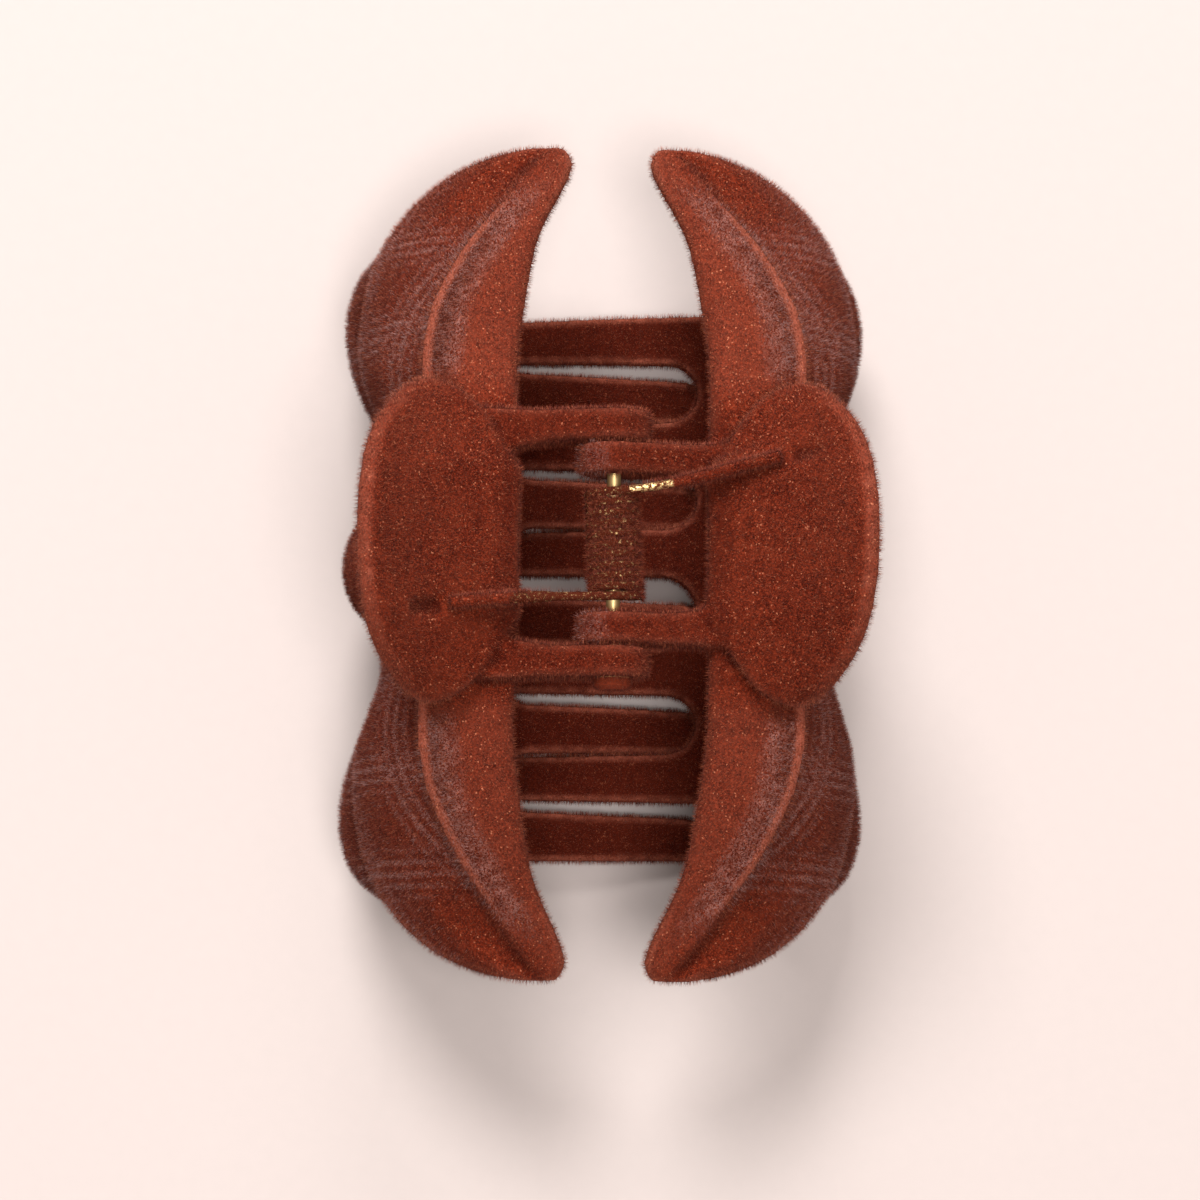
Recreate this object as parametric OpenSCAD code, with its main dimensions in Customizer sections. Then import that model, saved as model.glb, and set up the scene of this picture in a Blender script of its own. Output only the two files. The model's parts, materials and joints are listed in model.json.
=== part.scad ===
// Flocked claw clip for hair, with jaws shaped as a ribbon bow.
// The pin lies along Y, Z is up, and the clip stands on the tips of its tines at Z = 0.
// All the lines of a jaw are drawn for the right-hand jaw, from the pin axis, as [y, x, z] rows
// for one half of its length; the other half and the other jaw are its mirror images.

/* [Jaw shell] */
// Length of a jaw from wing tip to wing tip
jaw_length = 93; // [90:0.5:96]
// Wall of the moulded shell
wall = 2.6; // [2.2:0.1:3]
// How far the flange sags between its inner edge and the crest
flange_sag = 1.5; // [0.5:0.1:1.8]
// How far the tine tips lie below the pin axis
tip_drop = 46.4; // [46:0.1:48]
// Radius of the bow's knot along the clip
knot_radius = 6.5; // [5:0.5:8]

/* [Tines] */
// Number of tines on each jaw
tine_count = 5; // [5]
// Spacing of the tines
tine_pitch = 12.5; // [12.4:0.1:12.6]
// Extra space in the middle of the row
middle_gap = 1.3; // [1.2:0.1:1.8]
// Centre of the outermost tine, from the middle of the clip
first_tine = 29.1; // [28.5:0.1:29.5]
// Width of a tine at its root
tine_root = 5.7; // [5.2:0.1:5.8]
// Width of a tine at its tip
tine_tip = 4.9; // [4.4:0.1:5]
// Thickness of a tine
tine_wall = 2.4; // [2.2:0.1:2.5]
// How far a tine reaches past the middle of the clip
tine_reach = 12.8; // [12:0.1:13]
// Distance of the closed ends of the slots from the middle of the clip
slot_end = 11.4; // [11:0.1:11.8]

/* [Hinge] */
// Diameter of the hinge pin
pin_d = 1.5; // [1.4:0.05:1.6]
// Radial clearance of the pin in the knuckles that turn on it
pin_clearance = 0.08; // [0.05:0.01:0.1]
// Radius of a knuckle
knuckle_radius = 4; // [3.6:0.1:4.2]
// Width of a hinge arm
arm_width = 3.3; // [3:0.1:3.4]
// Inner face of the right jaw's arms, from the middle of the clip
inner_arm_y = 7.5; // [7.3:0.1:7.7]
// Inner face of the left jaw's arms, from the middle of the clip
outer_arm_y = 11.1; // [11.1:0.1:11.3]
// Diameter of the pin's head
head_d = 4; // [3.4:0.1:4.4]
// Thickness of the pin's head
head_h = 1.3; // [1:0.1:1.6]

/* [Torsion spring] */
// Diameter of the spring wire
wire_d = 0.95; // [0.8:0.05:1]
// Turns in the coil
coil_turns = 10; // [9:1:11]
// Rise of the coil each turn
coil_pitch = 1.13; // [1.1:0.01:1.15]
// Radius of the coil to the middle of the wire
coil_radius = 2.5; // [2.2:0.1:2.6]
// How far the legs reach from the pin
leg_reach = 17.5; // [16.5:0.5:18]
// Sideways lean of the loose coil on the pin, per mm along it
coil_lean = 0.05; // [0:0.01:0.06]

/* [Hidden] */
velvet = "#7c3520";
brass = "#c9a04e";
half_length = jaw_length / 2;
half_wall = wall / 2;
tip_round = 3.4;
pad_end = 17.6;
tail_end = 37.6;
// Where the spring legs' ends lie along y on each pad
right_seat_y = 8.7;
left_seat_y = 7.1;
// Plastic left at the blind end of the pin's bore
blind_wall = 0.8;
// Height of the straight edge of the pin's head
head_edge = 0.9;

// Inner edge of the flange, facing the other jaw
inner_edge = [
    [0, 10.2, -1.5], [12, 10.3, -1.8], [20.3, 10.4, -4.6], [27, 9.6, -6.6], [31, 9.0, -8.0],
    [35, 8.2, -9.9], [38.2, 6.9, -11.5], [40, 6.0, -12.4], [41.7, 5.2, -13.3], [43.5, 4.5, -14.2],
    [45, 4.4, -14.9], [46.5, 5.3, -15.5]
];
// Crest of the raised lip that runs from the lever pad to the wing tip
crest = [
    [0, 18.4, -1.2], [12, 19.2, -0.8], [17.8, 20.3, -0.3], [23.3, 19.9, -1.0], [26.5, 19.2, -2.2],
    [30.4, 17.5, -4.2], [34.5, 15.3, -6.8], [37.6, 13.1, -9.0], [40.4, 11.0, -11.0],
    [43.5, 8.8, -13.1], [46.5, 6.7, -14.9]
];
// Rolled lower rim of the bow's loop, the widest line of a wing
rim = [
    [0, 24.0, -15.5], [9, 24.2, -16.2], [14.4, 24.5, -17.9], [16.5, 25.4, -18.8], [18.5, 26.4, -19.5],
    [21.5, 27.3, -20.3], [24.5, 27.5, -20.9], [28, 27.3, -21.1], [32, 26.6, -21.1],
    [35.5, 25.4, -20.8], [38, 23.8, -20.2], [39.7, 22.5, -19.6], [41.3, 20.8, -19.1],
    [43, 18.7, -18.4], [44.5, 15.9, -17.6], [45.8, 12.4, -16.7], [46.5, 8.8, -15.9]
];
// Widest line of the bow's tail, below the rim: [y, x]
tail_side = [
    [0, 25.0], [10, 24.6], [14, 24.7], [18, 26.3], [21, 28.0], [25, 29.1], [29, 29.4], [33, 28.4],
    [35, 27.0], [37.6, 23.8]
];
// Lower end of the shell, where the tines start or the tail ends
tail_edge = [
    [0, 13.8, -41.0], [29, 13.8, -41.0], [32, 14.2, -40.8], [34, 16.1, -39.8], [35.7, 18.6, -37.6],
    [36.8, 20.6, -34.2], [37.6, 21.6, -30.5]
];
// Edge of the lever pad next to the hinge
pad_inner = [
    [0, 10.0, 0.3], [5, 9.9, 0.3], [7, 9.6, 0.3], [8, 9.7, 0.3], [9.5, 10.8, 0.4],
    [11.4, 12.3, 0.7], [14.2, 14.0, 1.0], [15.4, 15.1, 1.2], [16.4, 16.2, 1.4], [17.1, 17.3, 1.5],
    [17.6, 18.4, 1.6]
];
// Outer rim of the lever pad
pad_outer = [
    [0, 27.6, 13.4], [5, 27.4, 12.8], [9, 26.8, 11.3], [12, 25.8, 9.2], [14.5, 24.3, 6.8],
    [16.2, 23.0, 4.4], [17, 22.2, 3.3], [17.6, 21.2, 2.2]
];
// Middle of a tine's thickness, from its root in the shell to its tip: [x, z]
tine_line = [
    [20, -38.2], [15, -40.4], [9, -41.6], [2, -42.7], [-5, -43.9],
    [tine_wall / 2 - tine_reach, tine_wall / 2 - tip_drop]
];

// Row of a table that comes just before y
function row_before(rows, y, i = 0) =
    i >= len(rows) - 2 || rows[i + 1][0] > y ? i : row_before(rows, y, i + 1);

// Slope of a table at row i; level at y = 0, where the two halves of a jaw meet
function slope(rows, i) =
    i == 0 ? 0 * rows[0]
    : i == len(rows) - 1 ? (rows[i] - rows[i - 1]) / (rows[i][0] - rows[i - 1][0])
    : (rows[i + 1] - rows[i - 1]) / (rows[i + 1][0] - rows[i - 1][0]);

// Smooth curve through the rows of a table, at y on either side of the middle, without its y
function along(rows, y) =
    let (
        i = row_before(rows, abs(y)),
        h = rows[i + 1][0] - rows[i][0],
        t = (abs(y) - rows[i][0]) / h,
        p = (2 * t * t * t - 3 * t * t + 1) * rows[i]
            + (t * t * t - 2 * t * t + t) * h * slope(rows, i)
            + (3 * t * t - 2 * t * t * t) * rows[i + 1]
            + (t * t * t - t * t) * h * slope(rows, i + 1)
    )
    len(p) == 3 ? [p[1], p[2]] : [p[1]];

function mix(a, b, t) = a + (b - a) * t;
function unit(v) = v / norm(v);
function left_of(v) = [-v[1], v[0]];

// Point at t between b and c of a smooth curve through a, b, c and d
function through(a, b, c, d, t) =
    0.5 * (2 * b + (c - a) * t + (2 * a - 5 * b + 4 * c - d) * t * t
        + (3 * b - a - 3 * c + d) * t * t * t);

// Closed smooth curve through points, with k steps from each to the next
function closed_curve(points, k) =
    let (n = len(points))
    [for (i = [0:n - 1], j = [0:k - 1])
        through(points[(i + n - 1) % n], points[i], points[(i + 1) % n], points[(i + 2) % n], j / k)];

// Open smooth curve through points
function open_curve(points, k) =
    let (n = len(points))
    [for (i = [0:n - 2], j = [0:(i == n - 2 ? k : k - 1)])
        through(
            points[max(i - 1, 0)], points[i], points[i + 1], points[min(i + 2, n - 1)], j / k
        )];

// Direction of a curve at point i
function heading(c, i) = unit(c[min(i + 1, len(c) - 1)] - c[max(i - 1, 0)]);

// Closed outline of a strip of thickness t along a curve, with round ends
function strip(c, t, k = 3) =
    let (
        n = len(c),
        ends = [
            for (side = [1, -1], j = [1:k])
                let (
                    at = side > 0 ? c[n - 1] : c[0],
                    out = side * (side > 0 ? heading(c, n - 1) : heading(c, 0)),
                    a = 90 - 180 * j / (k + 1)
                )
                at + t / 2 * (cos(a) * out + sin(a) * left_of(out))
        ]
    )
    concat(
        [for (i = [0:n - 1]) c[i] + t / 2 * left_of(heading(c, i))],
        [for (j = [0:k - 1]) ends[j]],
        [for (i = [n - 1:-1:0]) c[i] - t / 2 * left_of(heading(c, i))],
        [for (j = [k:2 * k - 1]) ends[j]]
    );

// 1 along the body, falling in a quarter circle to a small rest at y = ends
function rounding(y, ends, r) = sqrt(1 - 0.97 * pow(max(0, abs(y) - ends + r) / r, 2));

// Stations along y from -ends to ends, closer together near the ends
function stations(n, ends) = [for (i = [-n:n]) ends * sin(90 * i / n)];

// Solid through a closed outline [x, z] at each station
module loft(ys, outlines) {
    n = len(outlines[0]);
    m = len(ys);
    points = [for (s = [0:m - 1], p = outlines[s]) [p[0], ys[s], p[1]]];
    sides = [for (s = [0:m - 2], i = [0:n - 1])
        let (j = (i + 1) % n, a = s * n, b = a + n)
        each [[a + i, b + j, a + j], [a + i, b + i, b + j]]];
    first = [[for (i = [0:n - 1]) i]];
    last = [[for (i = [n - 1:-1:0]) (m - 1) * n + i]];
    polyhedron(points, concat(sides, first, last));
}

// Outline of the wing at y: flange, lip, outer face, rim and the hollow side
function wing_outline(y) =
    let (
        round_off = rounding(y, half_length, tip_round),
        t = wall * round_off,
        a = along(inner_edge, y),
        b = along(crest, y),
        c = along(rim, y),
        lip = max(0, min(1, (b[0] - a[0] - 3) / 7)),
        roll = (0.35 + 0.65 * lip) * round_off,
        face = c - b,
        out = left_of(unit(face))
    )
    closed_curve([
        a,
        mix(a, b, 0.1) + [0, 0.5 * t],
        mix(a, b, 0.42) + [0, 0.48 * t - 0.6 * flange_sag * lip],
        mix(a, b, 0.74) + [0, 0.4 * t - 1.3 * flange_sag * lip],
        mix(a, b, 0.89) + [0, 0.35 * t - 0.7 * flange_sag * lip],
        b + [-0.3, 0.6] * roll,
        b + [0.7, 0.2] * roll,
        b + 0.12 * face - 0.12 * t * out,
        b + 0.5 * face + 0.7 * t * out,
        b + 0.9 * face + 0.35 * t * out,
        c,
        c - 0.3 * t * out + 0.4 * t * unit(face),
        c - 0.95 * t * out - 0.1 * t * unit(face),
        b + 0.55 * face - 0.3 * t * out,
        b + 0.15 * face - t * out - [0, 0.35 * t],
        mix(a, b, 0.65) - [0, 0.6 * t + 1.1 * flange_sag * lip],
        mix(a, b, 0.12) - [0, 0.5 * t]
    ], 2);

// Outline of the lower shell and the tail at y, from inside the wing to its lower end
function tail_outline(y) =
    let (
        t = wall * rounding(y, tail_end, 2),
        edge = along(rim, y),
        top = edge + [-2.2, 1.5],
        neck = edge + [-1.9, -2.4],
        side = along(tail_side, y)[0] - half_wall,
        bottom = along(tail_edge, y)
    )
    strip(open_curve([
        top,
        neck,
        [mix(neck[0], side, 0.7), mix(neck[1], bottom[1], 0.2)],
        [side, mix(neck[1], bottom[1], 0.45)],
        [mix(side, bottom[0], 0.12), mix(neck[1], bottom[1], 0.72)],
        [mix(side, bottom[0], 0.45), mix(neck[1], bottom[1], 0.93)],
        bottom
    ], 2), t);

// Outline of the lever pad at y, dished between its two edges
function pad_outline(y) =
    let (
        t = 0.92 * wall * rounding(y, pad_end, 2.4),
        a = along(pad_inner, y) + [half_wall, 0],
        b = along(pad_outer, y) - [half_wall, 0],
        dish = 0.05 * norm(b - a) * left_of(unit(b - a))
    )
    strip(open_curve([a, mix(a, b, 0.33) - 0.8 * dish, mix(a, b, 0.66) - 0.85 * dish, b], 3), t);

// Centres of the tines along y
function tine_y(i) = first_tine - tine_pitch * i - (i > tine_count / 2 ? middle_gap : 0);

// Tines seen from above, with round tips and slots with round closed ends
module tine_plan() {
    far = tine_y(tine_count - 1) - tine_root / 2;
    difference() {
        union() {
            translate([slot_end - tine_root / 2, far])
                square([20 - slot_end, first_tine + tine_root / 2 - far]);
            for (i = [0:tine_count - 1]) {
                tip_x = tine_tip / 2 - tine_reach;
                translate([0, tine_y(i)])
                    polygon([
                        [slot_end, -tine_root / 2], [slot_end, tine_root / 2],
                        [tip_x, tine_tip / 2], [tip_x, -tine_tip / 2]
                    ]);
                translate([tip_x, tine_y(i)])
                    circle(d = tine_tip, $fn = 24);
            }
        }
        for (i = [0:tine_count - 2]) {
            gap = tine_y(i) - tine_y(i + 1) - tine_root;
            translate([slot_end - gap / 2, (tine_y(i) + tine_y(i + 1)) / 2])
                circle(d = gap, $fn = 32);
        }
    }
}

module tines() {
    intersection() {
        translate([0, half_length, 0])
            rotate([90, 0, 0])
                linear_extrude(jaw_length)
                    polygon(strip(open_curve(tine_line, 3), tine_wall));
        translate([0, 0, -tip_drop - 1])
            linear_extrude(12)
                tine_plan();
    }
}

// Root of a hinge arm, flaring into the flange and the pad; it covers y to y + arm_width
module arm_root(y) {
    inward = y > 0 ? 0.9 : 0.2;
    hull() {
        translate([5.5, y + 0.1, -3.2])
            cube([1, arm_width - 0.2, 4.6]);
        translate([12, y - inward, -4])
            cube([3, arm_width + 1.1, 4.4]);
    }
}

// Raised seat under the end of a spring leg, on the inner face of a pad
module spring_seat(y) {
    hull() {
        translate([11.6, y - 0.7, 2.0])
            sphere(r = 1.2, $fn = 20);
        translate([16.6, y + 0.3, 3.35])
            sphere(r = 1.7, $fn = 20);
    }
}

// Pocket in the pad that the end of a spring leg points into
module leg_pocket(y) {
    hull() {
        translate([18.7, y + 0.7, 7.6])
            sphere(r = 1.7, $fn = 24);
        translate([20.2, y + 0.9, 9.2])
            sphere(r = 1.7, $fn = 24);
    }
}

// Knot of the bow, a cushion on the outer face
module knot() {
    intersection() {
        translate([24.2, 0, -27])
            rotate([0, 6, 0])
                scale([4.9, knot_radius, 10.5])
                    sphere(r = 1, $fn = 36);
        translate([23.2, -knot_radius, -40])
            cube([10, 2 * knot_radius, 30]);
    }
}

// Moulded skin of the right jaw: wings, tail, pad, tines, knot and arm roots as one surface
module moulding(arm_y, seat_y) {
    wing_ys = stations(21, half_length);
    tail_ys = stations(14, tail_end);
    pad_ys = stations(10, pad_end);
    resize([0, jaw_length, 0])
        difference() {
            union() {
                loft(wing_ys, [for (y = wing_ys) wing_outline(y)]);
                loft(tail_ys, [for (y = tail_ys) tail_outline(y)]);
                loft(pad_ys, [for (y = pad_ys) pad_outline(y)]);
                tines();
                knot();
                arm_root(arm_y);
                arm_root(-arm_y - arm_width);
                spring_seat(seat_y);
            }
            leg_pocket(seat_y);
        }
}

// Hinge arm from the knuckle to the moulding, with no bore yet
module arm(y) {
    translate([0, y + arm_width, 0])
        rotate([90, 0, 0])
            linear_extrude(arm_width) {
                circle(r = knuckle_radius, $fn = 48);
                polygon([
                    [0, -knuckle_radius], [13.5, -3], [13.5, 0.1], [5, 2.5], [0, knuckle_radius]
                ]);
            }
}

module pin_bore(radius, from, to) {
    translate([0, to, 0])
        rotate([90, 0, 0])
            cylinder(r = radius, h = to - from, $fn = 48);
}

// A jaw for the right-hand side, standing on its tine tips
module jaw(arm_y, seat_y) {
    translate([0, 0, tip_drop]) {
        moulding(arm_y, seat_y);
        arm(arm_y);
        arm(-arm_y - arm_width);
    }
}

module right_jaw() {
    color(velvet)
        difference() {
            jaw(inner_arm_y, right_seat_y);
            translate([0, 0, tip_drop])
                pin_bore(pin_d / 2 + pin_clearance, -inner_arm_y - arm_width - 1,
                    inner_arm_y + arm_width + 1);
        }
}

module left_jaw() {
    color(velvet)
        difference() {
            rotate([0, 0, 180])
                jaw(outer_arm_y, left_seat_y);
            translate([0, 0, tip_drop])
                pin_bore(pin_d / 2, -outer_arm_y - arm_width - 1,
                    outer_arm_y + arm_width - blind_wall);
        }
}

module hinge_pin() {
    start = -outer_arm_y - arm_width;
    length = outer_arm_y + arm_width - blind_wall - start;
    color(brass)
        translate([0, start, tip_drop])
            rotate([-90, 0, 0]) {
                cylinder(d = pin_d, h = length, $fn = 48);
                translate([0, 0, -head_edge])
                    cylinder(d = head_d, h = head_edge, $fn = 48);
                translate([0, 0, -head_h])
                    cylinder(d1 = head_d - 1.2, d2 = head_d, h = head_h - head_edge, $fn = 48);
            }
}

// Middle line of the spring wire: left leg, coil and right leg
function coil_point(turn) =
    let (y = (turn - coil_turns / 2) * coil_pitch - 0.15)
    [coil_radius * sin(360 * turn) - coil_lean * y, y, coil_radius * cos(360 * turn)];
function wire_line(steps) = concat(
    [[-leg_reach, -7.2, 6.5], [-leg_reach / 2, -6.2, 3.8], [-1, -5.85, 2.55]],
    [for (i = [0:coil_turns * steps]) coil_point(i / steps)],
    [[1, 5.55, 2.55], [leg_reach / 2, 6.8, 3.7], [leg_reach, 8.9, 6.2]]
);

// Ring of the wire round point i, square to the wire
function wire_ring(line, i, sides) =
    let (
        ahead = unit(line[min(i + 1, len(line) - 1)] - line[max(i - 1, 0)]),
        across = unit(cross(ahead, [0, 1, 0])),
        up = cross(across, ahead)
    )
    [for (k = [0:sides - 1])
        line[i] + wire_d / 2 * (cos(360 * k / sides) * across + sin(360 * k / sides) * up)];

module torsion_spring() {
    sides = 8;
    line = wire_line(18);
    n = len(line);
    points = [for (i = [0:n - 1]) each wire_ring(line, i, sides)];
    skin = [for (i = [0:n - 2], k = [0:sides - 1])
        let (a = i * sides, b = a + sides, m = (k + 1) % sides)
        each [[a + k, a + m, b + m], [a + k, b + m, b + k]]];
    first = [[for (k = [sides - 1:-1:0]) k]];
    last = [[for (k = [0:sides - 1]) (n - 1) * sides + k]];
    color(brass)
        translate([0, 0, tip_drop])
            polyhedron(points, concat(skin, first, last));
}

left_jaw();
right_jaw();
hinge_pin();
torsion_spring();
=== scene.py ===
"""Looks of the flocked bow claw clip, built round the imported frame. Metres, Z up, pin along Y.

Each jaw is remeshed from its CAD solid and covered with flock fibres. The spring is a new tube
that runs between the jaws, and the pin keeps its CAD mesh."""

import json
import math

import bmesh
import bpy
import numpy as np
from mathutils import Matrix, Vector


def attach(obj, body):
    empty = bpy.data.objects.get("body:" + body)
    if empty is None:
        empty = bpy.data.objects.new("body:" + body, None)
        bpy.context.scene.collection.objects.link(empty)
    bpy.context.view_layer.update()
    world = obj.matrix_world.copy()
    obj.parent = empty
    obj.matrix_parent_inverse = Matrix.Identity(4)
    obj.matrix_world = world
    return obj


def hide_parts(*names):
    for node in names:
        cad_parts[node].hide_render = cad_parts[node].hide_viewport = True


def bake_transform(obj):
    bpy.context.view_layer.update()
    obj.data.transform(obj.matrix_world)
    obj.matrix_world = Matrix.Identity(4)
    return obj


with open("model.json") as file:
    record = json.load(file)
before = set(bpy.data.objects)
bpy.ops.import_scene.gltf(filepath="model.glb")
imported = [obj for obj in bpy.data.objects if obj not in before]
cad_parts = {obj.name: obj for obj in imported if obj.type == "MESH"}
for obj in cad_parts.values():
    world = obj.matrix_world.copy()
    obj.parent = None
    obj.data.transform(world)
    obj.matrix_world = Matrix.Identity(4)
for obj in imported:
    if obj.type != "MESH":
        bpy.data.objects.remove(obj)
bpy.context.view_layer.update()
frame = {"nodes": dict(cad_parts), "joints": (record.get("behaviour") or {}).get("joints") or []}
MM = 0.001
PIN_Z = frame["joints"][0]["pos_m"][2]

# ---------------------------------------------------------------- sizes
# how finely the jaws are remeshed
VOXEL = 0.44 * MM
RELAX_PASSES = 4

# flock fibres: how many for a jaw, their sizes, the spread of the slopes they lean at, how deep they
# are rooted, and the shortest and longest as shares of the length
FIBRE_TOTAL = 288000
FIBRES_PER_PIECE = 48000
FIBRE_LENGTH = 0.6 * MM
FIBRE_WIDTH = 0.055 * MM
FIBRE_LEAN = 0.38
FIBRE_ROOT = 0.12 * MM
SHORTEST, LONGEST = 0.55, 1.25
# shares of dark, mid and light fibres
FIBRE_MIX = (0.42, 0.42, 0.16)
# no fibres of the jaws this near to the pin's middle line
PIN_CLEARANCE = 1.8 * MM

# crest of the lip for half of a jaw's length: along the pin and out from it, in millimetres
CREST = np.array(((0, 18.4), (17.8, 20.3), (26.5, 19.2), (30.4, 17.5), (37.6, 13.1), (46.5, 6.7)))
# lower rim of the wing: along the pin, out from it and down from it, in millimetres
RIM = np.array(
    (
        (0, 24.0, 15.5),
        (14.4, 24.5, 17.9),
        (18.5, 26.4, 19.5),
        (24.5, 27.5, 20.9),
        (32, 26.6, 21.1),
        (38, 23.8, 20.2),
        (43, 18.7, 18.4),
        (46.5, 8.8, 15.9),
    )
)
# middles, spreads and spacings of the plaid's bundles of stripes, in millimetres
PLAID_ALONG = ((13, 24, 35), 2.6, 1.25)
PLAID_DOWN = ((7, 19, 31), 2.8, 1.6)

# spring, in millimetres from the pin's middle, as in the CAD
WIRE_R = 0.475
WIRE_SIDES = 14
COIL_R = 2.5
COIL_TURNS = 10
COIL_PITCH = 1.13
COIL_SHIFT = -0.15
COIL_LEAN = 0.05
COIL_STEPS = 40
LEG_STEPS = 8
LEFT_LEG = ((-17.5, -7.2, 6.5), (-13, -6.65, 5.1), (-8.75, -6.2, 3.8), (-4, -5.95, 2.85), (-1, -5.85, 2.53))
RIGHT_LEG = ((1, 5.55, 2.53), (4, 5.95, 2.8), (8.75, 6.8, 3.7), (13, 7.85, 4.9), (17.5, 8.9, 6.2))
# flock on the legs: its thickness, and how far out it sets in
COAT = 0.16
COAT_STARTS, COAT_FULL = 6, 8
COATED_RIGHT, COATED_LEFT = 6.4, -11
# bare wire of the right leg, which lies past this place along the pin
BARE_FROM, BARE_TO = 1.5, 6.0
RIGHT_LEG_Y = 5.5
# stretch of the left leg that loses this share of its fibres
THIN_FROM, THIN_TO = -2.6, -9
THINNED = 0.75

# the pin's head starts here along the pin
HEAD_Y = -14.45 * MM

# ---------------------------------------------------------------- colours
# darkest flock: the darkest grains, and the colour of the painted shade
DEEP = (0.034, 0.0032, 0.0012, 1)
RUST = (0.135, 0.0145, 0.0047, 1)
WARM = (0.260, 0.042, 0.017, 1)
# painted glints on single grains
GLINT = (0.480, 0.160, 0.085, 1)
# painted highlight on edges, the crest and the wing's rim
EDGE = (0.310, 0.085, 0.052, 1)
# pale frost: the plaid's stripes, the right knuckles, and painted sheen in the lip band
FROST = (0.360, 0.180, 0.155, 1)
SHEEN = (1.0, 0.34, 0.22, 1)
DULL_GOLD = (0.86, 0.58, 0.22, 1)
CLEAN_GOLD = (0.98, 0.76, 0.40, 1)
# loose flock on the wire's bare stretch, on the pin and on the rest of the wire
WIRE_FLOCK = (0.09, 0.014, 0.005, 1)
PIN_FLOCK = (0.18, 0.028, 0.011, 1)
COIL_FLOCK = (0.062, 0.0100, 0.0032, 1)
FLOOR_COLOURS = (0.500, 0.450, 0.440, 1), (0.520, 0.466, 0.455, 1)


# ---------------------------------------------------------------- camera
def make_camera():
    """A long lens almost straight above the clip."""
    tilt = math.radians(6.3)
    side = math.radians(-2.2)
    roll = math.radians(-0.5)
    distance = 0.5
    # where the pin's middle sits beside and above the middle of the picture
    beside = 1.45 * MM
    above = 5.97 * MM
    level = Vector((math.cos(side), 0, -math.sin(side)))
    rise = Vector((math.sin(tilt) * math.sin(side), math.cos(tilt), math.sin(tilt) * math.cos(side)))
    back = Vector((math.cos(tilt) * math.sin(side), -math.sin(tilt), math.cos(tilt) * math.cos(side)))
    right = math.cos(roll) * level - math.sin(roll) * rise
    up = math.sin(roll) * level + math.cos(roll) * rise
    data = bpy.data.cameras.new("camera")
    data.sensor_width = 36
    data.lens = 139.5
    data.clip_start = 0.01
    data.clip_end = 20
    camera = bpy.data.objects.new("camera", data)
    bpy.context.collection.objects.link(camera)
    spot = Vector((0, 0, PIN_Z)) - beside * right - above * up + distance * back
    turn = Matrix((right, up, back)).transposed().to_4x4()
    camera.matrix_world = Matrix.Translation(spot) @ turn
    bpy.context.scene.camera = camera


# ---------------------------------------------------------------- shader nodes
def new_material(name):
    """A material with a principled shader and nothing else: the material, its tree, the shader."""
    material = bpy.data.materials.new(name)
    material.use_nodes = True
    tree = material.node_tree
    tree.nodes.clear()
    output = tree.nodes.new("ShaderNodeOutputMaterial")
    shader = tree.nodes.new("ShaderNodeBsdfPrincipled")
    tree.links.new(shader.outputs[0], output.inputs[0])
    return material, tree, shader


def feed(tree, target, value):
    """Links a socket to the target, or writes a constant on it."""
    if isinstance(value, bpy.types.NodeSocket):
        tree.links.new(value, target)
    else:
        target.default_value = value


def node(tree, kind, inputs=(), **settings):
    made = tree.nodes.new(kind)
    for key, value in settings.items():
        setattr(made, key, value)
    for key, value in dict(inputs).items():
        feed(tree, made.inputs[key], value)
    return made


def object_place(tree):
    return node(tree, "ShaderNodeTexCoord").outputs["Object"]


def noise(tree, at, scale, detail, rough):
    inputs = {"Vector": at, "Scale": scale, "Detail": detail, "Roughness": rough}
    return node(tree, "ShaderNodeTexNoise", inputs).outputs["Fac"]


def span(tree, value, low, high, to_low=0.0, to_high=1.0):
    """The value from low to high, stretched to run from to_low to to_high."""
    inputs = {"Value": value, "From Min": low, "From Max": high, "To Min": to_low, "To Max": to_high}
    return node(tree, "ShaderNodeMapRange", inputs).outputs["Result"]


def maths(tree, operation, a, b):
    return node(tree, "ShaderNodeMath", {0: a, 1: b}, operation=operation).outputs[0]


def mix_colour(tree, share, a, b):
    made = node(tree, "ShaderNodeMix", data_type="RGBA")
    # the colour sockets of a mix node: share, first colour, second colour
    for index, value in ((0, share), (6, a), (7, b)):
        feed(tree, made.inputs[index], value)
    return made.outputs[2]


def bump(tree, height, strength, distance, under=None):
    inputs = {"Height": height, "Strength": strength, "Distance": distance}
    if under is not None:
        inputs["Normal"] = under
    return node(tree, "ShaderNodeBump", inputs).outputs[0]


def attribute(tree, name):
    return node(tree, "ShaderNodeAttribute", attribute_name=name).outputs["Fac"]


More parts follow.
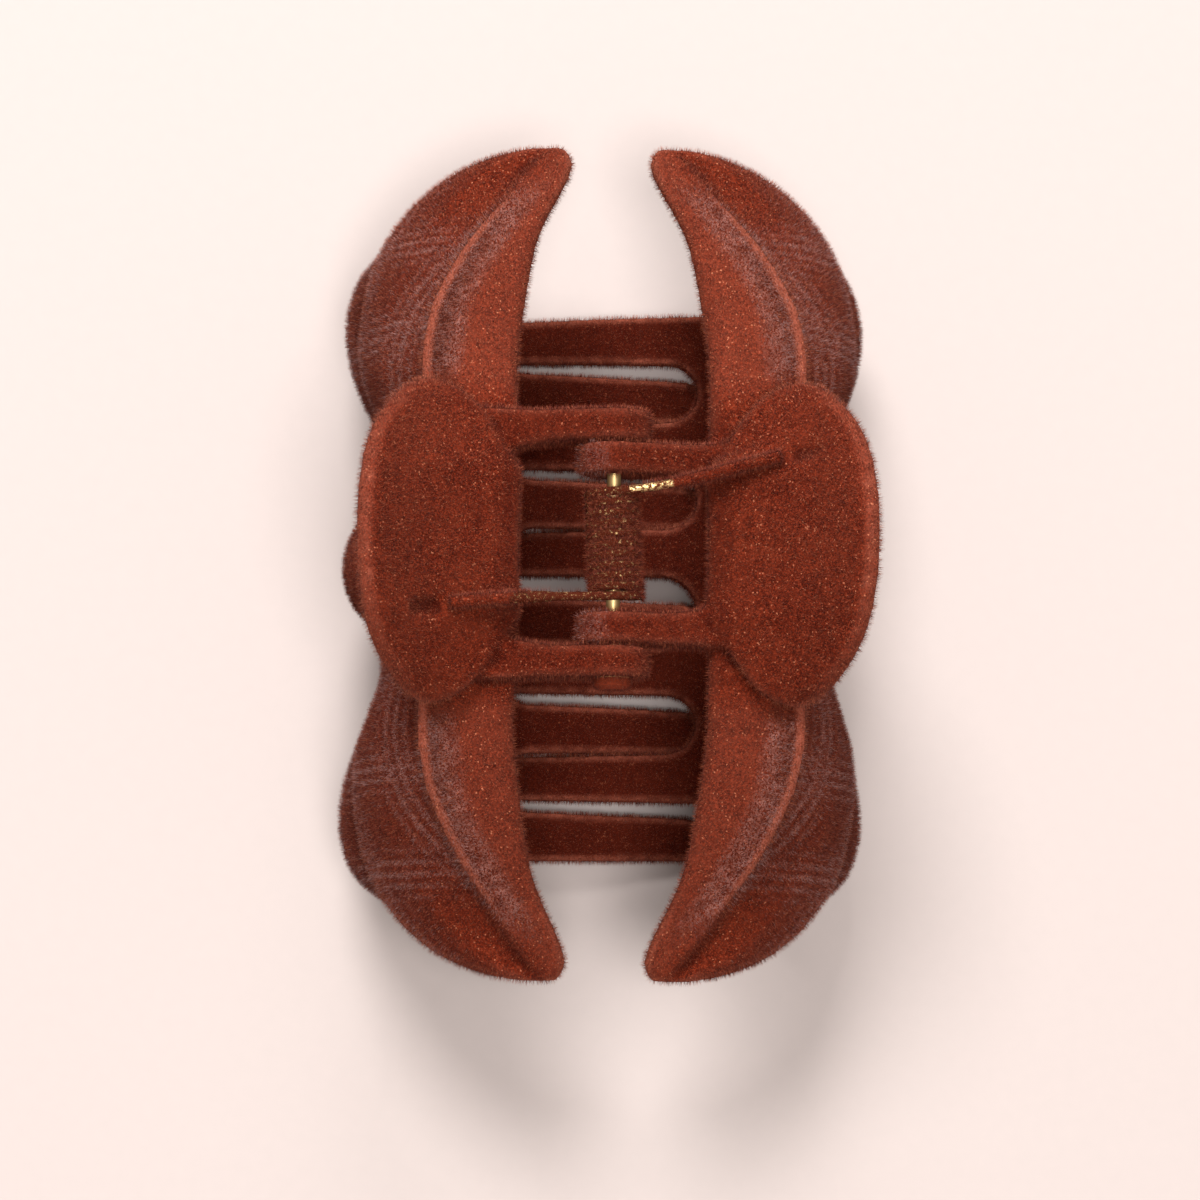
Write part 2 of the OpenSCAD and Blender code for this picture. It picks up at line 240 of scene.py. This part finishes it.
# ---------------------------------------------------------------- materials
def flock_material():
    """Short velvet: grains of rust brown, painted shade in hollows and shaded places, painted highlights on
    edges, painted glints, and pale frost for the plaid and for painted sheen in bands.
    """
    material, tree, shader = new_material("flock_velvet")
    at = object_place(tree)
    pile = noise(tree, at, 6500, 2, 0.75)
    patch = noise(tree, at, 700, 4, 0.65)
    broad = noise(tree, at, 110, 3, 0.5)
    cells = node(tree, "ShaderNodeTexVoronoi", {"Vector": at, "Scale": 7000}).outputs["Color"]
    shade, mottle, spark = node(tree, "ShaderNodeSeparateColor", {0: cells}).outputs
    hollow = attribute(tree, "hollow")

    base = mix_colour(tree, span(tree, shade, 0.05, 0.85), DEEP, RUST)
    base = mix_colour(tree, span(tree, shade, 0.72, 0.98, 0, 0.75), base, WARM)
    base = mix_colour(tree, span(tree, patch, 0.42, 0.7, 0, 0.30), base, WARM)
    base = mix_colour(tree, span(tree, broad, 0.4, 0.75, 0, 0.22), base, WARM)
    # painted shade: darker in hollows, under the rim, in the lip band, on the arms, the tines and the outer
    # faces
    base = mix_colour(tree, hollow, base, DEEP)
    # pale frost: the plaid's stripes and painted sheen, broken up by the grains
    frost_share = maths(tree, "MULTIPLY", attribute(tree, "frost"), span(tree, mottle, 0.3, 0.8))
    frost_share = maths(tree, "MULTIPLY", frost_share, span(tree, patch, 0.36, 0.58, 0.45, 1))
    base = mix_colour(tree, frost_share, base, FROST)
    # painted highlight on edges and rims, broken up by the grains
    edge = maths(tree, "MULTIPLY", attribute(tree, "edge"), span(tree, mottle, 0.0, 0.7, 0.25, 0.8))
    base = mix_colour(tree, edge, base, EDGE)
    # painted glints on single grains, none in the painted shade
    lit = maths(tree, "SUBTRACT", 1.0, hollow)
    glint = maths(tree, "MULTIPLY", span(tree, spark, 0.982, 0.99), lit)
    base = mix_colour(tree, glint, base, GLINT)

    feed(tree, shader.inputs["Base Color"], base)
    shader.inputs["Roughness"].default_value = 0.92
    shader.inputs["Specular IOR Level"].default_value = 0.06
    shader.inputs["Sheen Weight"].default_value = 0.10
    shader.inputs["Sheen Roughness"].default_value = 0.32
    shader.inputs["Sheen Tint"].default_value = SHEEN
    fine = bump(tree, pile, 0.9, 0.22 * MM)
    feed(tree, shader.inputs["Normal"], bump(tree, patch, 0.35, 0.4 * MM, fine))
    return material


def fibre_material(name, root, tip):
    """One colour of flock fibre, from the colour at its root to the colour at its tip: the dark root is
    painted shade deep in the pile, the pale tip painted light.
    """
    material, tree, shader = new_material(name)
    base = mix_colour(tree, span(tree, attribute(tree, "along"), 0.1, 0.9), root, tip)
    feed(tree, shader.inputs["Base Color"], base)
    shader.inputs["Roughness"].default_value = 0.5
    shader.inputs["Specular IOR Level"].default_value = 0.25
    return material


def metal_material(name, dust_low, dust_high, flock, flocked_before=None):
    """Gold plating with fine scratches, under as much loose flock as the two limits let through.
    Up to flocked_before along the pin the flock covers it all."""
    material, tree, shader = new_material(name)
    at = object_place(tree)
    dust = noise(tree, at, 2600, 4, 0.75)
    rough = noise(tree, at, 1200, 3, 0.6)
    share = span(tree, dust, dust_low, dust_high)
    if flocked_before is not None:
        along = node(tree, "ShaderNodeSeparateXYZ", {0: at}).outputs["Y"]
        covered = span(tree, along, flocked_before, flocked_before + 0.2 * MM, 1, 0)
        share = maths(tree, "MAXIMUM", share, covered)
    gold = mix_colour(tree, rough, DULL_GOLD, CLEAN_GOLD)
    polish = span(tree, rough, 0.3, 0.8, 0.36, 0.50)
    roughness = maths(tree, "MAXIMUM", polish, maths(tree, "MULTIPLY", share, 0.9))
    feed(tree, shader.inputs["Base Color"], mix_colour(tree, share, gold, flock))
    feed(tree, shader.inputs["Metallic"], span(tree, share, 0, 1, 0.85, 0))
    feed(tree, shader.inputs["Roughness"], roughness)
    feed(tree, shader.inputs["Normal"], bump(tree, dust, 0.3, 0.08 * MM))
    shader.inputs["Specular IOR Level"].default_value = 0.1
    return material


VELVET = flock_material()
# fibres run from a dark root, painted shade deep in the pile, to a pale tip, painted light; the frost
# fibres carry the plaid and painted sheen
FIBRES = (
    fibre_material("fibre_dark", (0.024, 0.002, 0.001, 1), (0.115, 0.014, 0.0055, 1)),
    fibre_material("fibre_mid", (0.045, 0.004, 0.0015, 1), (0.270, 0.045, 0.020, 1)),
    fibre_material("fibre_light", (0.090, 0.012, 0.005, 1), (0.540, 0.150, 0.072, 1)),
    fibre_material("fibre_frost", (0.080, 0.030, 0.030, 1), (0.520, 0.290, 0.265, 1)),
)
# places of the light and the frosted fibres in FIBRES
LIGHT_FIBRE, FROST_FIBRE = 2, 3
BARE_GOLD = metal_material("gold_bare", 0.42, 0.56, WIRE_FLOCK)
PIN_GOLD = metal_material("gold_pin", 0.62, 0.70, PIN_FLOCK, -14.5 * MM)
DUSTED_GOLD = metal_material("gold_dusted", 0.28, 0.42, COIL_FLOCK)


# ---------------------------------------------------------------- looks over a jaw
def smooth_step(value, low, high):
    share = np.clip((value - low) / (high - low), 0, 1)
    return share * share * (3 - 2 * share)


def bundles(value, centres, spread, spacing):
    """Bundles of parallel stripes: soft lines at one spacing, fading out around each centre."""
    found = np.zeros(len(value))
    for centre in centres:
        found = np.maximum(found, np.exp(-(((value - centre) / spread) ** 2)))
    return found * (0.5 + 0.5 * np.cos(2 * math.pi * value / spacing))


def outer_face(x, away, down, facing_out):
    """How surely a point is on the jaw's outer face, clear of the arms and of the lip's crest."""
    share = smooth_step(facing_out, 0.25, 0.6)
    share *= smooth_step(x, 11, 15) * smooth_step(down, -0.5, 1) * smooth_step(away, 7, 10)
    return share


def lip_band(away, z, inside, facing_up):
    """The ruffled band just inside the lip's crest, between the pads and the wing tips, where painted sheen
    and painted shade alternate.
    """
    share = smooth_step(inside, -0.7, 0.3) * (1 - smooth_step(inside, 2.4, 4.2))
    share *= smooth_step(facing_up, 0.1, 0.4) * smooth_step(z, 28, 30)
    share *= smooth_step(away, 17.5, 20) * (1 - smooth_step(away, 38, 43))
    return share


def wing_rim(x, away, down):
    """The painted highlight along the wing's lower rim, and the painted shade under it."""
    rim_x, rim_down = (np.interp(away, RIM[:, 0], RIM[:, k]) for k in (1, 2))
    beside = np.hypot(x - rim_x, down - rim_down)
    line = np.exp(-((beside / 1.2) ** 2)) * smooth_step(away, 13, 16)
    below = down - rim_down
    shade = smooth_step(below, 1.2, 2.2) * (0.9 - 0.4 * smooth_step(below, 4, 8))
    shade *= smooth_step(x, rim_x - 5, rim_x - 3) * smooth_step(away, 13, 16)
    return line, shade


def looks_of(points, normals, side):
    """How frosted, how pale with painted highlight and how dark with painted shade the flock is at each
    point of a jaw, and whether it is on an arm.
    Here x is out from the pin, y along it and z the height, in millimetres."""
    x, y, z = (points / MM * (side, side, 1)).T
    away = np.abs(y)
    down = PIN_Z / MM - z
    facing_up = normals[:, 2]
    inside = np.interp(away, CREST[:, 0], CREST[:, 1]) - x
    ruffle = 0.5 + 0.5 * np.sin(y * 2.1 + 3 * np.sin(y * 0.7)) * np.sin(inside * 1.7 + y * 0.9)

    outward = outer_face(x, away, down, normals[:, 0] * side)
    band = lip_band(away, z, inside, facing_up)
    line, shade = wing_rim(x, away, down)
    level_with_pin = down < 5
    # only the right jaw's knuckles are frosted pale
    knuckle = smooth_step(-x, 0.2, 1.6) * level_with_pin * (side > 0)
    arms = smooth_step(13.5 - x, 0, 2) * level_with_pin * (away < 15)
    flange = smooth_step(inside, 0, 2) * smooth_step(facing_up, 0.1, 0.4) * smooth_step(z, 26, 29)
    # painted shade on the tines deep inside the clip
    tines = 0.72 * smooth_step(down, 33, 38) * smooth_step(facing_up, 0, 0.4)

    plaid = np.maximum(bundles(away, *PLAID_ALONG), bundles(down, *PLAID_DOWN))
    # pale frost: the plaid on the outer faces, painted sheen in the lip band, and the right knuckles
    frost = np.maximum.reduce((0.72 * outward * plaid, band * (0.2 + 0.6 * ruffle), 0.25 * knuckle))
    # painted highlight on the wing's rim and on the flange's upward faces
    pale = np.maximum(line, 0.26 * flange * smooth_step(away, 15, 19))
    # painted shade on the outer faces, under the rim, in the lip band, on the arms and on the tines
    dark = np.maximum.reduce((0.3 * outward, shade, band * (0.75 - 0.5 * ruffle), 0.4 * arms, tines))
    return frost, pale, dark, arms


# ---------------------------------------------------------------- meshes
def vertex_array(mesh, name="co"):
    values = np.zeros(len(mesh.vertices) * 3, np.float32)
    mesh.vertices.foreach_get(name, values)
    return values.reshape(-1, 3)


def add_attribute(mesh, name, values):
    mesh.attributes.new(name, "FLOAT", "POINT").data.foreach_set("value", values.astype(np.float32))


def shade_smooth(mesh):
    mesh.polygons.foreach_set("use_smooth", [True] * len(mesh.polygons))


def linked_object(name, mesh):
    obj = bpy.data.objects.new(name, mesh)
    bpy.context.collection.objects.link(obj)
    return obj


def apply_modifiers(obj):
    bpy.context.view_layer.update()
    graph = bpy.context.evaluated_depsgraph_get()
    mesh = bpy.data.meshes.new_from_object(obj.evaluated_get(graph))
    obj.modifiers.clear()
    obj.data = mesh


def bend_of(mesh):
    """How sharply the surface bends at each vertex, per millimetre: edges positive, hollows negative."""
    points = vertex_array(mesh).astype(float) / MM
    normals = vertex_array(mesh, "normal").astype(float)
    links = np.zeros(len(mesh.edges) * 2, np.int32)
    mesh.edges.foreach_get("vertices", links)
    a, b = links.reshape(-1, 2).T
    total = len(points)
    count = np.bincount(links, minlength=total)
    gap = points[a] - points[b]
    length = (gap**2).sum(1)
    at_a = 4 * (gap * normals[a]).sum(1) / length
    at_b = 4 * (-gap * normals[b]).sum(1) / length
    bend = np.bincount(a, at_a, total) + np.bincount(b, at_b, total)
    bend /= count
    # rounds of averaging with the neighbours
    for _ in range(5):
        around = np.bincount(a, bend[b], total) + np.bincount(b, bend[a], total)
        bend = 0.4 * bend + 0.6 * around / count
    return bend


def surface_samples(mesh, count, random, carried=None):
    """Random roots on a mesh, even over its area, with the surface's directions there
    and the values carried by its vertices."""
    mesh.calc_loop_triangles()
    triangles = np.zeros(len(mesh.loop_triangles) * 3, np.int32)
    mesh.loop_triangles.foreach_get("vertices", triangles)
    triangles = triangles.reshape(-1, 3)
    points = vertex_array(mesh).astype(float)
    normals = vertex_array(mesh, "normal").astype(float)
    corners = points[triangles]
    area = np.linalg.norm(np.cross(corners[:, 1] - corners[:, 0], corners[:, 2] - corners[:, 0]), axis=1)
    pick = random.choice(len(triangles), count, p=area / area.sum())
    u = random.random(count)
    v = random.random(count)
    flip = u + v > 1
    u[flip] = 1 - u[flip]
    v[flip] = 1 - v[flip]
    weights = np.stack([1 - u - v, u, v], 1)[:, :, None]
    roots = (corners[pick] * weights).sum(1)
    ways = (normals[triangles[pick]] * weights).sum(1)
    ways /= np.linalg.norm(ways, axis=1)[:, None]
    if carried is None:
        return roots, ways
    return roots, ways, (carried[triangles[pick]] * weights[:, :, 0]).sum(1)


def spike_corners(roots, normals, random, length, width, lean):
    """The four corners of each spike: three round its foot, under the surface, and its tip."""
    count = len(roots)
    wild = random.normal(size=(count, 3))
    wild -= (wild * normals).sum(1)[:, None] * normals
    wild /= np.linalg.norm(wild, axis=1)[:, None]
    axis = normals + wild * np.abs(random.normal(0, lean, count))[:, None]
    axis /= np.linalg.norm(axis, axis=1)[:, None]
    across = np.cross(axis, wild)
    across /= np.linalg.norm(across, axis=1)[:, None]
    other = np.cross(axis, across)
    tall = length * random.uniform(SHORTEST, LONGEST, count)[:, None]
    foot = roots - FIBRE_ROOT * axis
    points = np.empty((count, 4, 3))
    for k in range(3):
        angle = 2 * math.pi * k / 3
        points[:, k] = foot + width / 2 * (math.cos(angle) * across + math.sin(angle) * other)
    points[:, 3] = roots + tall * axis
    return points


def spike_mesh(name, points):
    """Closed spikes of four triangles, from the four corners of each."""
    start = 4 * np.arange(len(points))[:, None]
    faces = np.concatenate([start + f for f in ([0, 1, 3], [1, 2, 3], [2, 0, 3], [0, 2, 1])], 1)
    faces = faces.reshape(-1, 3)
    mesh = bpy.data.meshes.new(name)
    mesh.vertices.add(4 * len(points))
    mesh.vertices.foreach_set("co", points.astype(np.float32).ravel())
    mesh.loops.add(3 * len(faces))
    mesh.loops.foreach_set("vertex_index", faces.astype(np.int32).ravel())
    mesh.polygons.add(len(faces))
    mesh.polygons.foreach_set("loop_start", (3 * np.arange(len(faces))).astype(np.int32))
    mesh.update(calc_edges=True)
    shade_smooth(mesh)
    add_attribute(mesh, "along", np.tile((0, 0, 0, 1), len(points)))
    return mesh


def fibres(name, roots, normals, random, length, width, lean, frost=None, edge=None):
    """Flock fibres standing on a surface at roots, each leaning its own way, in mixed shades.
    Frosted places get frosted fibres, and edges get light ones as a painted highlight."""
    count = len(roots)
    mesh = spike_mesh(name, spike_corners(roots, normals, random, length, width, lean))
    for material in FIBRES:
        mesh.materials.append(material)
    shade = random.choice(3, count, p=FIBRE_MIX)
    if edge is not None:
        # light fibres on edges: painted highlight
        shade[random.random(count) < edge * 0.6] = LIGHT_FIBRE
    # frosted fibres for the plaid and the painted sheen
    if frost is not None:
        shade[random.random(count) < frost * 0.7] = FROST_FIBRE
    mesh.polygons.foreach_set("material_index", np.repeat(shade, 4).astype(np.int32))
    return linked_object(name, mesh)


# ---------------------------------------------------------------- jaws
def make_jaw(name, side):
    """The jaw remeshed from its CAD solid, with its looks as attributes, and how much painted highlight
    each vertex has.
    """
    jaw = linked_object(name + "_flocked", frame["nodes"][name].data.copy())
    remesh = jaw.modifiers.new("remesh", "REMESH")
    remesh.mode = "VOXEL"
    remesh.voxel_size = VOXEL
    remesh.use_smooth_shade = True
    apply_modifiers(jaw)
    relax = jaw.modifiers.new("relax", "SMOOTH")
    relax.factor = 0.5
    relax.iterations = RELAX_PASSES
    apply_modifiers(jaw)
    mesh = jaw.data
    mesh.materials.clear()
    mesh.materials.append(VELVET)
    shade_smooth(mesh)
    frost, pale, dark, arms = looks_of(vertex_array(mesh).astype(float), vertex_array(mesh, "normal"), side)
    bend = bend_of(mesh)
    # painted highlight on convex edges, less on the arms
    edge = np.maximum(pale, smooth_step(bend, 0.4, 1.4) * (1 - 0.65 * arms))
    # painted shade in concave hollows, added to the painted shade from looks_of
    hollow = np.maximum(dark, 0.75 * smooth_step(-bend, 0.1, 0.7))
    add_attribute(mesh, "frost", frost)
    add_attribute(mesh, "edge", edge)
    add_attribute(mesh, "hollow", hollow)
    return jaw, edge


def flock_jaw(jaw, edges, name, body, side, seed):
    """Flock fibres all over a jaw, in pieces small enough to export whole."""
    random = np.random.default_rng(seed)
    roots, ways, edge = surface_samples(jaw.data, FIBRE_TOTAL, random, edges)
    # none through the floor, and none round the bare stretches of the pin
    standing = roots[:, 2] + LONGEST * FIBRE_LENGTH * ways[:, 2] > 0
    standing &= np.hypot(roots[:, 0], roots[:, 2] - PIN_Z) > PIN_CLEARANCE
    roots, ways, edge = roots[standing], ways[standing], edge[standing]
    frost = looks_of(roots, ways, side)[0]
    for number in range(math.ceil(len(roots) / FIBRES_PER_PIECE)):
        part = slice(number * FIBRES_PER_PIECE, (number + 1) * FIBRES_PER_PIECE)
        piece = fibres(
            f"{name}_fibres_{number + 1}",
            roots[part],
            ways[part],
            random,
            FIBRE_LENGTH,
            FIBRE_WIDTH,
            FIBRE_LEAN,
            frost[part],
            edge[part],
        )
        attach(piece, body)


def dress_jaw(name, body, side, seed):
    jaw, edges = make_jaw(name, side)
    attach(jaw, body)
    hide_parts(name)
    flock_jaw(jaw, edges, name, body, side, seed)


# ---------------------------------------------------------------- spring
def curve_through(points, steps):
    """A Catmull-Rom curve through all the points."""
    made = []
    last = len(points) - 1
    for i in range(last):
        a, b, c, d = (points[max(0, min(last, i + k))] for k in (-1, 0, 1, 2))
        for j in range(steps):
            t = j / steps
            first = (c - a) * t
            second = (2 * a - 5 * b + 4 * c - d) * t * t
            third = (3 * b - a - 3 * c + d) * t**3
            made.append(0.5 * (2 * b + first + second + third))
    made.append(points[-1])
    return made


def spring_line():
    """Middle of the wire in millimetres from the pin's middle: left leg, coil, right leg."""
    coil = []
    for i in range(COIL_TURNS * COIL_STEPS + 1):
        turn = i / COIL_STEPS
        angle = 2 * math.pi * turn
        y = (turn - COIL_TURNS / 2) * COIL_PITCH + COIL_SHIFT
        coil.append(Vector((COIL_R * math.sin(angle) - COIL_LEAN * y, y, COIL_R * math.cos(angle))))
    left = [Vector(point) for point in LEFT_LEG]
    right = [Vector(point) for point in RIGHT_LEG]
    to_coil = curve_through(left + [coil[0]], LEG_STEPS)[:-1]
    from_coil = curve_through([coil[-1]] + right, LEG_STEPS)[1:]
    return to_coil + coil + from_coil


def tube(name, line, radii, sides):
    """A closed tube along a line, turning no more than the line does, with flat ends."""
    mesh = bmesh.new()
    across = Vector((0, 1, 0))
    rings = []
    last = len(line) - 1
    for i, point in enumerate(line):
        ahead = (line[min(i + 1, last)] - line[max(i - 1, 0)]).normalized()
        across = (across - across.dot(ahead) * ahead).normalized()
        other = ahead.cross(across)
        ring = []
        for k in range(sides):
            angle = 2 * math.pi * k / sides
            way = math.cos(angle) * across + math.sin(angle) * other
            ring.append(mesh.verts.new(point + radii[i] * way))
        rings.append(ring)
    for a, b in zip(rings, rings[1:]):
        for k in range(sides):
            m = (k + 1) % sides
            mesh.faces.new((a[k], a[m], b[m], b[k]))
    mesh.faces.new(rings[0][::-1])
    mesh.faces.new(rings[-1])
    bmesh.ops.recalc_face_normals(mesh, faces=mesh.faces)
    data = bpy.data.meshes.new(name)
    mesh.to_mesh(data)
    mesh.free()
    shade_smooth(data)
    return linked_object(name, data)


def spring_wire():
    """The wire, dusted with flock, bare beside the coil on the right and coated on the pads."""
    line = [Vector((p.x * MM, p.y * MM, p.z * MM + PIN_Z)) for p in spring_line()]
    radii = []
    for point in line:
        coat = COAT * float(smooth_step(abs(point.x / MM), COAT_STARTS, COAT_FULL))
        radii.append((WIRE_R + coat) * MM)
    wire = tube("torsion_spring_wire", line, radii, WIRE_SIDES)
    for material in (DUSTED_GOLD, BARE_GOLD, VELVET):
        wire.data.materials.append(material)
    for face in wire.data.polygons:
        x = face.center.x / MM
        on_right_leg = face.center.y > RIGHT_LEG_Y * MM
        if BARE_FROM < x < BARE_TO and on_right_leg:
            face.material_index = 1
        elif x > COATED_RIGHT or x < COATED_LEFT:
            face.material_index = 2
    return wire


def spring_fibres(wire):
    """Fibres on the wire, none where the coil's ends face the bare pin and few on the left leg."""
    random = np.random.default_rng(13)
    roots, ways = surface_samples(wire.data, 40000, random)
    x = roots[:, 0] / MM
    y = roots[:, 1] / MM
    coil_end = (np.abs(ways[:, 1]) >= 0.6) & (np.abs(y) >= 5) & (np.abs(x) <= 3)
    thinned = (x < THIN_FROM) & (x > THIN_TO) & (random.random(len(roots)) < THINNED)
    kept = ~(coil_end | thinned)
    return fibres("torsion_spring_fibres", roots[kept], ways[kept], random, 0.62 * MM, 0.05 * MM, 0.4)


def make_spring():
    wire = spring_wire()
    for piece in (wire, spring_fibres(wire)):
        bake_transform(piece)
    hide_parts("torsion_spring")


# ---------------------------------------------------------------- pin
def dress_pin():
    """The pin keeps its CAD mesh, with fibres on its head."""
    pin = frame["nodes"]["hinge_pin"]
    pin.data.materials.clear()
    pin.data.materials.append(PIN_GOLD)
    random = np.random.default_rng(14)
    roots, ways = surface_samples(pin.data, 6000, random)
    on_head = roots[:, 1] < HEAD_Y
    fuzz = fibres("hinge_pin_fibres", roots[on_head], ways[on_head], random, 0.4 * MM, 0.05 * MM, 0.7)
    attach(fuzz, "left_side")


# ---------------------------------------------------------------- floor and light
def make_floor():
    mesh = bmesh.new()
    bmesh.ops.create_grid(mesh, x_segments=24, y_segments=24, size=1.6)
    data = bpy.data.meshes.new("floor")
    mesh.to_mesh(data)
    mesh.free()
    floor = linked_object("floor", data)
    material, tree, shader = new_material("floor_paper")
    grain = noise(tree, object_place(tree), 600, 2, 0.5)
    feed(tree, shader.inputs["Base Color"], mix_colour(tree, grain, *FLOOR_COLOURS))
    shader.inputs["Roughness"].default_value = 0.8
    data.materials.append(material)


def area_light(name, spot, size, watts, colour):
    """A round soft light, aimed at the clip."""
    data = bpy.data.lights.new(name, "AREA")
    data.shape = "DISK"
    data.size = size
    data.energy = watts
    data.color = colour
    light = bpy.data.objects.new(name, data)
    bpy.context.collection.objects.link(light)
    aim = Vector((0, 0, 0.03)) - Vector(spot)
    light.location = spot
    light.rotation_mode = "QUATERNION"
    light.rotation_quaternion = aim.to_track_quat("-Z", "Y")


def make_light():
    area_light("key", (-0.15, 0.52, 0.90), 0.36, 10.5, (1.0, 0.95, 0.915))
    area_light("back", (0.0, 0.95, 0.45), 0.4, 4.5, (1.0, 0.95, 0.92))
    area_light("above", (0.06, -0.22, 1.28), 0.4, 12.5, (1.0, 0.94, 0.90))
    bpy.context.scene.view_settings.view_transform = "Standard"
    world = bpy.data.worlds.new("studio")
    bpy.context.scene.world = world
    world.use_nodes = True
    background = world.node_tree.nodes["Background"]
    background.inputs["Color"].default_value = (1.0, 0.90, 0.83, 1)
    background.inputs["Strength"].default_value = 0.32


# ---------------------------------------------------------------- the scene
make_camera()
dress_jaw("left_jaw", "left_side", -1, 11)
dress_jaw("right_jaw", "right_side", 1, 12)
make_spring()
dress_pin()
make_floor()
make_light()
